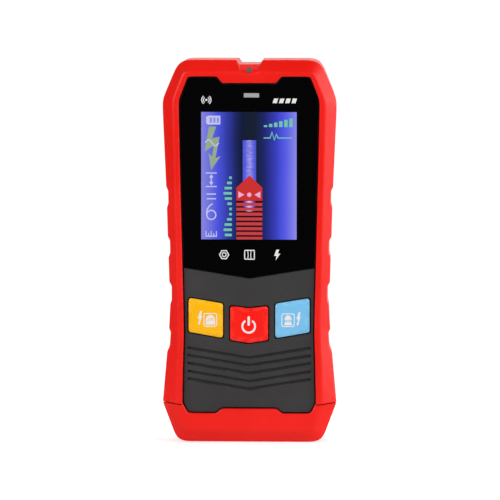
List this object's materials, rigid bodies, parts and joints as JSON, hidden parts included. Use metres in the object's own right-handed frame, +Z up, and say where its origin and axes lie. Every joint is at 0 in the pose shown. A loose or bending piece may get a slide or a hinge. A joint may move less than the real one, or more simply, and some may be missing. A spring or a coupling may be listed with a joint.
{
  "type": "stud finder",
  "caption": "Handheld wall scanner with a colour display, coloured press keys, a grip-notched protective shell and a lift-off battery door.",
  "frame": {"origin": "bottom centre of the object's box, on the flat bottom end that it stands on", "axes": "+Z up along the object's length, +X to the right seen from the front, +Y from the display side to the sensing side"},
  "size_m": [0.067, 0.028, 0.147],
  "materials": {
    "shell_red": "satin moulded plastic with a fine texture",
    "panel_grey": "matte, fine moulded grain",
    "rear_grey": "matte, fine moulded grain",
    "window_black": "polished, printed black behind",
    "key_yellow": "satin",
    "key_red": "satin",
    "key_blue": "satin",
    "light_grey": "translucent satin",
    "mark_grey": "matte",
    "display_blue": "display glass, lit",
    "board_green": "solder mask",
    "black_plastic": "matte",
    "cream_plastic": "matte",
    "steel": "zinc-plated",
    "copper": "enamelled copper winding",
    "battery_can": "printed steel can",
    "nickel": "nickel-plated contacts",
    "felt": "black felt",
    "flex_amber": "polyimide film",
    "wire_red": "wire insulation",
    "wire_black": "wire insulation"
  },
  "bodies": {
    "housing": {"outer_frame": "shell_red", "lower_bumper": "shell_red", "front_panel": "panel_grey", "display_window": "window_black", "indicator_lens": "light_grey", "centre_mark": "mark_grey", "rear_housing": "rear_grey", "glide_pad_upper_left": "felt", "glide_pad_upper_right": "felt", "glide_pad_lower_left": "felt", "glide_pad_lower_right": "felt", "housing_screw_upper_left": "steel", "housing_screw_upper_right": "steel", "housing_screw_lower_left": "steel", "housing_screw_lower_right": "steel", "board_screw_left": "steel", "board_screw_right": "steel", "board_screw_top": "steel", "display_module": "display_blue", "display_bezel": "black_plastic", "display_flex": "flex_amber", "display_connector": "cream_plastic", "main_board": "board_green", "controller_chip": "black_plastic", "indicator_led": "cream_plastic", "buzzer": "black_plastic", "sensor_board": "board_green", "sensor_header": "black_plastic", "coil_bobbin": "black_plastic", "detection_coil": "copper", "switch_left": "black_plastic", "switch_power": "black_plastic", "switch_right": "black_plastic", "battery": "battery_can", "battery_terminal_round": "nickel", "battery_terminal_hex": "nickel", "battery_snap": "black_plastic", "battery_lead_red": "wire_red", "battery_lead_black": "wire_black"},
    "left_key": {"left_key": "key_yellow", "plunger_left": "cream_plastic"},
    "power_key": {"power_key": "key_red", "plunger_power": "cream_plastic"},
    "right_key": {"right_key": "key_blue", "plunger_right": "cream_plastic"},
    "battery_door": {"battery_door": "rear_grey"}
  },
  "joints": [
    {"name": "left_key_press", "type": "slide", "parent": "housing", "child": "left_key", "axis": [0, 1, 0], "range_m": [0, 0.0005], "stiffness_N_per_m": 3000, "springref_m": -0.0003},
    {"name": "power_key_press", "type": "slide", "parent": "housing", "child": "power_key", "axis": [0, 1, 0], "range_m": [0, 0.0005], "stiffness_N_per_m": 3000, "springref_m": -0.0003},
    {"name": "right_key_press", "type": "slide", "parent": "housing", "child": "right_key", "axis": [0, 1, 0], "range_m": [0, 0.0005], "stiffness_N_per_m": 3000, "springref_m": -0.0003},
    {"name": "battery_door_lift_off", "type": "slide", "parent": "housing", "child": "battery_door", "axis": [0, 1, 0], "range_m": [0, 0.03]}
  ]
}
